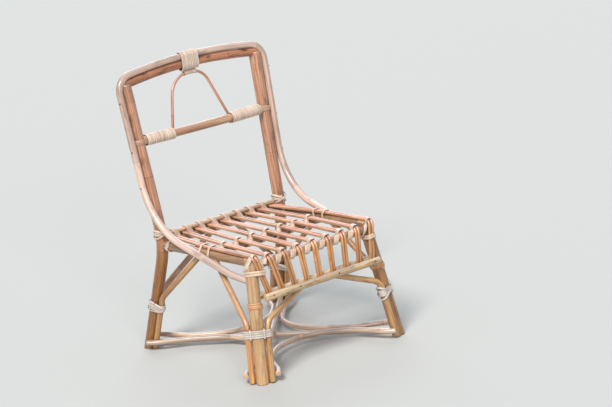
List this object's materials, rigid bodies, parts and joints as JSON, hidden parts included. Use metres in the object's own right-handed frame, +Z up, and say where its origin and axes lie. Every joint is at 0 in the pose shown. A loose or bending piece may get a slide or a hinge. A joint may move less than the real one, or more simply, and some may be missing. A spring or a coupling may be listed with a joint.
{
  "type": "rattan chair",
  "caption": "Low rattan chair with splayed legs, a seat of paired rods bent down to an apron, a hooped open back with an arch, and cane-bound joints.",
  "frame": {"origin": "middle of the footprint, on the floor", "axes": "+Z up, +Y to the back of the chair, +X to the right seen from the front"},
  "size_m": [0.4734, 0.5118, 0.7015],
  "materials": {
    "brown_pole": "satin peeled rattan, dark red-brown",
    "mid_pole": "satin rattan, brown",
    "golden_pole": "satin rattan, golden tan",
    "pale_pole": "satin rattan, pale tan",
    "seat_rail": "satin rattan, tan",
    "thin_rod": "rattan core, orange tan",
    "cane": "split cane, cream"
  },
  "bodies": {
    "root": {"apron_back_pole": "golden_pole", "apron_front_pole": "golden_pole", "arch_binding": "cane", "back_arch": "thin_rod", "back_crossbar": "mid_pole", "back_hoop": "pale_pole", "back_top_rail": "brown_pole", "crossbar_binding_left": "cane", "crossbar_binding_right": "cane", "crossbar_straps": "mid_pole", "curved_stretcher_front": "pale_pole", "curved_stretcher_left": "pale_pole", "curved_stretcher_rear": "pale_pole", "curved_stretcher_right": "pale_pole", "diagonal_stretcher_high": "pale_pole", "diagonal_stretcher_low": "pale_pole", "front_cross_brace_left": "golden_pole", "front_cross_brace_right": "golden_pole", "front_lashing": "cane", "front_leg_left": "golden_pole", "front_leg_right": "golden_pole", "front_side_brace_left": "golden_pole", "front_side_brace_right": "golden_pole", "leg_apron_bindings": "cane", "leg_bindings": "cane", "leg_top_bindings": "cane", "middle_lashing": "cane", "post_bindings": "cane", "rear_cross_brace_left": "golden_pole", "rear_cross_brace_right": "golden_pole", "rear_lashing": "cane", "rear_post_left": "brown_pole", "rear_post_right": "brown_pole", "rear_side_brace_left": "golden_pole", "rear_side_brace_right": "golden_pole", "seat_front_rail": "seat_rail", "seat_middle_rail": "seat_rail", "seat_rear_cover_rod": "seat_rail", "seat_rear_rail": "seat_rail", "seat_rod_pair_1": "thin_rod", "seat_rod_pair_2": "thin_rod", "seat_rod_pair_3": "thin_rod", "seat_rod_pair_4": "thin_rod", "seat_rod_pair_5": "thin_rod", "seat_rod_pair_6": "thin_rod", "seat_rod_pair_7": "thin_rod", "seat_rod_pair_8": "thin_rod", "seat_rod_pair_9": "thin_rod", "seat_side_rail_left": "seat_rail", "seat_side_rail_right": "seat_rail", "side_ties": "cane", "top_binding": "cane"}
  },
  "joints": []
}
